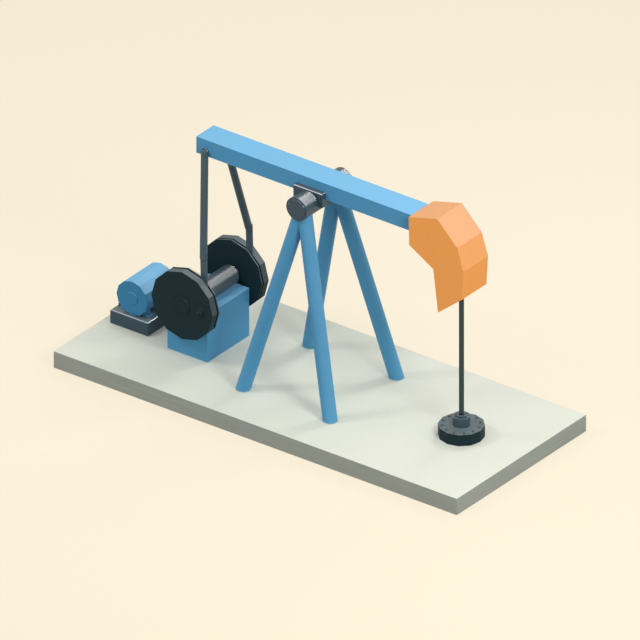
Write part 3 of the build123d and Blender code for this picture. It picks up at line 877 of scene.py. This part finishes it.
def dress_carrier():
    underside = middle("rope_carrier")
    underside.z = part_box("rope_carrier")[0].z
    rope_low, rope_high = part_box("hanging_ropes")
    rope_y = rope_high.y - (rope_high.x - rope_low.x) / 2
    shape = bmesh.new()
    for side in SIDES.values():
        turned(shape, stand(underside + Y_AXIS * side * rope_y, -Z_AXIS), SOCKET)
    finish_piece("rope_sockets", shape, "rod", "steel")
    shape = bmesh.new()
    turned(shape, stand(underside, -Z_AXIS), cap(COLLAR_RADIUS, COLLAR_HEIGHT))
    finish_piece("rod_collar", shape, "rod", "steel")


# Gearbox: housing and hatch bolts, breather, input bearing caps, level glass and plugs
HOUSING_BOLT_X = 0.216
HOUSING_BOLT_Y = (-0.54, -0.324, -0.108, 0.108, 0.324, 0.54)
HATCH_X = -2.834
HATCH_BOLT_X, HATCH_BOLT_Y = 0.078, (-0.255, -0.085, 0.085, 0.255)
BREATHER_Y = 0.17
BREATHER_CAP = ((0.0, 0.078), (0.024, 0.074), (0.034, 0.060), (0.034, 0.044), (0.014, 0.040))
BREATHER_STEM = ((0.014, 0.012), (0.024, 0.010), (0.024, 0.0), (0.0, 0.0))
INPUT_LOW_Y, INPUT_HIGH_Y = -0.270, 0.400
INPUT_CAP_RADIUS, INPUT_CAP_THICKNESS = 0.118, 0.014
INPUT_BOLT_CIRCLE, INPUT_BOLT_COUNT = 0.094, 6
SEAL_RADIUS, SEAL_THICKNESS = 0.078, 0.018
PLUG_Y, PLUG_RISES, GLASS_RISE = -0.47, (0.10, 0.56), 0.33
GLASS_RADIUS, GLASS_RIM, GLASS_THICKNESS = 0.018, 0.034, 0.012
GLASS_EDGE, GLASS_LAP = 0.003, 0.001


def two_rows(x, reach, y_places, z):
    """Places in two rows along Y, one on each side of an X."""
    return [(x + end * reach, y, z) for end in ENDS.values() for y in y_places]


def dress_gearbox():
    places = two_rows(crank_axis.x, HOUSING_BOLT_X, HOUSING_BOLT_Y, housing_flange_top)
    bolts("housing_bolts", "root", "blue_paint", M12, places, Z_AXIS)
    hatch_top = gearbox_top + HATCH_THICKNESS
    places = two_rows(HATCH_X, HATCH_BOLT_X, HATCH_BOLT_Y, hatch_top)
    bolts("hatch_bolts", "root", "blue_paint", M10, places, Z_AXIS)
    shape = bmesh.new()
    turned(shape, stand((HATCH_X, BREATHER_Y, hatch_top)), BREATHER_CAP + BREATHER_STEM)
    finish_piece("gearbox_breather", shape, "root", "dark_paint")
    add_input_caps()
    add_oil_fittings()


def add_input_caps():
    """A bolted cap on the near end of the input shaft's barrel, and the shaft's seal on its far end."""
    shape = bmesh.new()
    face = Vector((sheave_axis.x, INPUT_LOW_Y, sheave_axis.z))
    turned(shape, stand(face, -Y_AXIS), cap(INPUT_CAP_RADIUS, INPUT_CAP_THICKNESS))
    seal = Vector((sheave_axis.x, INPUT_HIGH_Y, sheave_axis.z))
    turned(shape, stand(seal, Y_AXIS), cap(SEAL_RADIUS, SEAL_THICKNESS))
    finish_piece("input_caps", shape, "root", "blue_paint")
    face -= Y_AXIS * INPUT_CAP_THICKNESS
    places = circle(face, -Y_AXIS, INPUT_BOLT_CIRCLE, INPUT_BOLT_COUNT)
    bolts("input_cap_bolts", "root", "blue_paint", M12, places, -Y_AXIS)


def add_oil_fittings():
    """A filler and a drain plug on the gearbox's rear, with a level glass between them."""
    rear_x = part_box("gearbox_case")[1].x - GEARBOX_LENGTH
    places = [(rear_x, PLUG_Y, pad_top + rise) for rise in PLUG_RISES]
    bolts("oil_plugs", "root", "blue_paint", M24, places, -X_AXIS)
    shape = bmesh.new()
    matrix = stand((rear_x, PLUG_Y, pad_top + GLASS_RISE), -X_AXIS)
    turned(shape, matrix, ring(GLASS_RADIUS, GLASS_RIM, GLASS_THICKNESS, GLASS_EDGE))
    turned(shape, matrix, cap(GLASS_RADIUS + GLASS_LAP, GLASS_THICKNESS / 2, GLASS_LAP))
    finish_piece("level_glass", shape, "root", "steel")


# Motor: bearing caps, end-bell and foot bolts, terminal box, and the jacks that tighten the belts
BEARING_CAP_RADIUS, BEARING_CAP_THICKNESS, BEARING_CAP_EDGE = 0.125, 0.012, 0.003
BELL_BOLT_CIRCLE, BELL_BOLT_COUNT = 0.300, 6
FOOT_BOLT_X, FOOT_BOLT_Y, FOOT_THICKNESS = 0.278, 0.271, 0.022
TERMINAL_BOX = Vector((0.105, 0.200, 0.170))
TERMINAL_LID = Vector((0.014, 0.216, 0.186))
TERMINAL_DROP = 0.060
TERMINAL_EDGE, LID_EDGE = 0.006, 0.003
LID_SCREW, LID_SCREW_INSET = 0.006, 0.018
JACK_BLOCK = Vector((0.026, 0.050, 0.044))
JACK_INSET, JACK_RISE = 0.042, 0.026
JACK_TIP_RADIUS, JACK_TIP_LENGTH, JACK_TIP_EDGE = 0.009, 0.030, 0.002


def dress_motor():
    shape = bmesh.new()
    for name, side in SIDES.items():
        along = Y_AXIS * side
        face = Vector((drive_axis.x, outer_face("motor_end_bells", side), drive_axis.z))
        turned(shape, stand(face, along), cap(BEARING_CAP_RADIUS, BEARING_CAP_THICKNESS, BEARING_CAP_EDGE))
        places = circle(face, along, BELL_BOLT_CIRCLE, BELL_BOLT_COUNT, pi / BELL_BOLT_COUNT)
        bolts(f"{name}_bell_bolts", "root", "blue_paint", M10, places, along, finish=shaded_blue)
    finish_piece("motor_bearing_caps", shape, "root", "blue_paint", shaded_blue)
    base_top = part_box("motor_base")[1].z
    foot_y = [side * FOOT_BOLT_Y for side in SIDES.values()]
    places = two_rows(drive_axis.x, FOOT_BOLT_X, foot_y, base_top + FOOT_THICKNESS)
    bolts("motor_foot_bolts", "root", "dark_paint", M20, places, Z_AXIS)


def add_terminal_box():
    """The box on the motor's back, half sunk in its frame, with a screwed lid."""
    centre = Vector((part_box("motor_frame")[0].x, 0.0, drive_axis.z - TERMINAL_DROP))
    shape = bmesh.new()
    block(shape, centre - TERMINAL_BOX / 2, centre + TERMINAL_BOX / 2, TERMINAL_EDGE)
    lid = centre - X_AXIS * TERMINAL_BOX.x / 2
    block(shape, lid - TERMINAL_LID / 2, lid + TERMINAL_LID / 2, LID_EDGE)
    finish_piece("terminal_box", shape, "root", "blue_paint")
    reach = TERMINAL_LID / 2 - Vector((0.0, LID_SCREW_INSET, LID_SCREW_INSET))
    signs = ENDS.values()
    places = [lid + Vector((-reach.x, a * reach.y, b * reach.z)) for a in signs for b in signs]
    bolts("terminal_box_screws", "root", "blue_paint", LID_SCREW, places, -X_AXIS)


def add_jacks():
    """Two blocks at the base's rear edge, each with a screw that pushes a motor foot back."""
    base_low, base_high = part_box("motor_base")
    shape = bmesh.new()
    heads = []
    for side in SIDES.values():
        foot = Vector((base_low.x + JACK_INSET, side * FOOT_BOLT_Y, base_high.z))
        half = Vector((JACK_BLOCK.x / 2, JACK_BLOCK.y / 2, 0.0))
        block(shape, foot - half, foot + half + Z_AXIS * JACK_BLOCK.z, EASED_EDGE)
        screw = foot + Z_AXIS * JACK_RISE
        tip = screw + X_AXIS * half.x
        turned(shape, stand(tip, X_AXIS), cap(JACK_TIP_RADIUS, JACK_TIP_LENGTH, JACK_TIP_EDGE), STUD_STEPS)
        heads.append(screw - X_AXIS * half.x)
    finish_piece("jack_blocks", shape, "root", "dark_paint")
    bolts("jack_screws", "root", "dark_paint", M16, heads, -X_AXIS)


# Belt pulleys: the screws of their taper bushes
PULLEY_FACE_Y = 0.556
BUSH_SCREW, BUSH_SCREW_CIRCLE, BUSH_SCREW_COUNT = 0.008, 0.050, 3


def dress_pulleys():
    for name, at in (("motor_pulley", drive_axis), ("sheave", sheave_axis)):
        places = circle((at.x, PULLEY_FACE_Y, at.z), Y_AXIS, BUSH_SCREW_CIRCLE, BUSH_SCREW_COUNT)
        bolts(f"{name}_screws", "root", "cast_iron", BUSH_SCREW, places, Y_AXIS)


def grout_bases():
    """A thin line of grout where the gearbox and the motor's base stand on the pad."""
    case_low, case_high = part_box("gearbox_case")
    base_low, base_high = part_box("motor_base")
    outlines = [
        rectangle((case_high.x - GEARBOX_LENGTH, case_high.x), (case_low.y, case_high.y), pad_top),
        rectangle((base_low.x, base_high.x), (base_low.y, base_high.y), pad_top),
    ]
    runs = [(divided(outline, closed=True), True) for outline in outlines]
    beads("base_grout", "root", "concrete", runs, GROUT_RADIUS, GROUT_RIPPLE)


def make_camera():
    """A parallel view along the photograph's direction, placed by the pad's middle."""
    data = bpy.data.cameras.new("view")
    data.type = "ORTHO"
    data.ortho_scale = PICTURE_SIDE * METRES_PER_PIXEL
    data.clip_end = CLIP_SHARE * CAMERA_DISTANCE
    camera = bpy.data.objects.new("view", data)
    bpy.context.scene.collection.objects.link(camera)
    camera.rotation_euler = (pi / 2 - VIEW_ELEVATION, 0, VIEW_AZIMUTH)
    turn = camera.rotation_euler.to_matrix()
    right, up, back = turn.col[0], turn.col[1], turn.col[2]
    pad_middle = Vector((0, 0, pad_top))
    off = (PAD_CENTRE_PIXEL - Vector((PICTURE_SIDE / 2, PICTURE_SIDE / 2))) * METRES_PER_PIXEL
    camera.location = pad_middle - right * off.x + up * off.y + back * CAMERA_DISTANCE
    bpy.context.scene.camera = camera


# Three wide soft lamps, each with the direction it stands in from LAMP_AIM, its distance, its width,
# and the brightness that it gives a white card that faces it
LAMPS = {
    "left_front": ((-0.52, -0.49, 0.70), 17.0, 3.8, 0.188),
    "right_front": ((0.72, -0.26, 0.64), 17.0, 4.6, 0.322),
    "back": ((0.16, 0.70, 0.70), 15.0, 4.0, 0.178),
}
LAMP_AIM = Vector((0.0, 0.0, 1.2))
SKY_STRENGTH = 0.655

# A long panel far behind, which throws no shadow and shows only in gloss. It lies along the way that a
# level drum's reflections run in the photograph's view
PANEL_DIRECTION = Vector((0.22, 0.746, 0.63)).normalized()
PANEL_DISTANCE = 30.0
PANEL_LENGTH, PANEL_HEIGHT = 36.0, 8.0
PANEL_RADIANCE = 19.0


def hang_lamp(name, direction, distance, energy):
    """An area lamp that stands in a direction from the aim and looks back at it, its width square to Y."""
    data = bpy.data.lights.new(name, "AREA")
    data.energy = energy
    lamp = bpy.data.objects.new(name, data)
    toward = Vector(direction).normalized()
    across = Y_AXIS.cross(toward).normalized()
    lamp.location = LAMP_AIM + toward * distance
    lamp.rotation_euler = Matrix((across, toward.cross(across), toward)).transposed().to_euler()
    bpy.context.scene.collection.objects.link(lamp)
    return lamp


def light_studio():
    """The three lamps, and the panel that lights only the gloss."""
    for name, (direction, distance, width, brightness) in LAMPS.items():
        lamp = hang_lamp(name, direction, distance, brightness * pi**2 * distance**2)
        lamp.data.shape = "DISK"
        lamp.data.size = width
    energy = PANEL_RADIANCE * pi * PANEL_LENGTH * PANEL_HEIGHT
    panel = hang_lamp("panel", PANEL_DIRECTION, PANEL_DISTANCE, energy)
    panel.data.shape = "RECTANGLE"
    panel.data.size = PANEL_LENGTH
    panel.data.size_y = PANEL_HEIGHT
    panel.data.use_shadow = False
    panel.data.cycles.use_multiple_importance_sampling = False
    panel.visible_diffuse = False


def seen_directly(tree):
    """Above 0 for camera, glossy and transmission rays, which see the pale background."""
    rays = ("Is Camera Ray", "Is Glossy Ray", "Is Transmission Ray")
    camera, glossy, transmission = (tree.node("ShaderNodeLightPath", output=ray) for ray in rays)
    return camera + glossy + transmission


def paint_world():
    """A white sky that lights the scene, behind a cream background that is only seen."""
    world = bpy.data.worlds.new("studio")
    bpy.context.scene.world = world
    tree = Tree(world)
    sky = tree.node("ShaderNodeBackground", None, {"Color": linear(SKY_WHITE), "Strength": SKY_STRENGTH})
    card = tree.node("ShaderNodeBackground", None, {"Color": linear(BACKGROUND_CREAM)})
    mixed = tree.node("ShaderNodeMixShader", None, {0: seen_directly(tree), 1: sky, 2: card})
    tree.end_in("World Output", mixed)


FLOOR_HALF = 120.0
FLOOR_BOUNCE = (0.32, 0.31, 0.29, 1.0)
FLOOR_GLOW_SHARE = 0.75


def lay_floor():
    """A cream floor that mostly glows where it is seen, still takes a shadow, and bounces little light."""
    mesh = bpy.data.meshes.new("floor")
    shape = bmesh.new()
    bmesh.ops.create_grid(shape, x_segments=1, y_segments=1, size=FLOOR_HALF)
    shape.to_mesh(mesh)
    shape.free()
    floor = bpy.data.objects.new("floor", mesh)
    bpy.context.scene.collection.objects.link(floor)
    material = bpy.data.materials.new("floor_cream")
    tree = Tree(material)
    tree.nodes.remove(tree.nodes["Principled BSDF"])
    matt = tree.node("ShaderNodeBsdfDiffuse", None, {"Color": linear(FLOOR_CREAM)})
    glow = tree.node("ShaderNodeEmission", None, {"Color": linear(FLOOR_CREAM)})
    seen = tree.node("ShaderNodeMixShader", None, {0: FLOOR_GLOW_SHARE, 1: matt, 2: glow})
    bounce = tree.node("ShaderNodeBsdfDiffuse", None, {"Color": FLOOR_BOUNCE})
    mixed = tree.node("ShaderNodeMixShader", None, {0: seen_directly(tree), 1: bounce, 2: seen})
    tree.end_in("Material Output", mixed)
    mesh.materials.append(material)


dress_nodes()
dress_wellhead()
dress_post()
dress_saddle()
dress_head()
weld_tail_plate()
dress_cranks()
dress_pitmans()
dress_carrier()
dress_gearbox()
dress_motor()
add_terminal_box()
add_jacks()
dress_pulleys()
grout_bases()
make_camera()
light_studio()
paint_world()
lay_floor()
bpy.context.scene.view_settings.view_transform = "Standard"
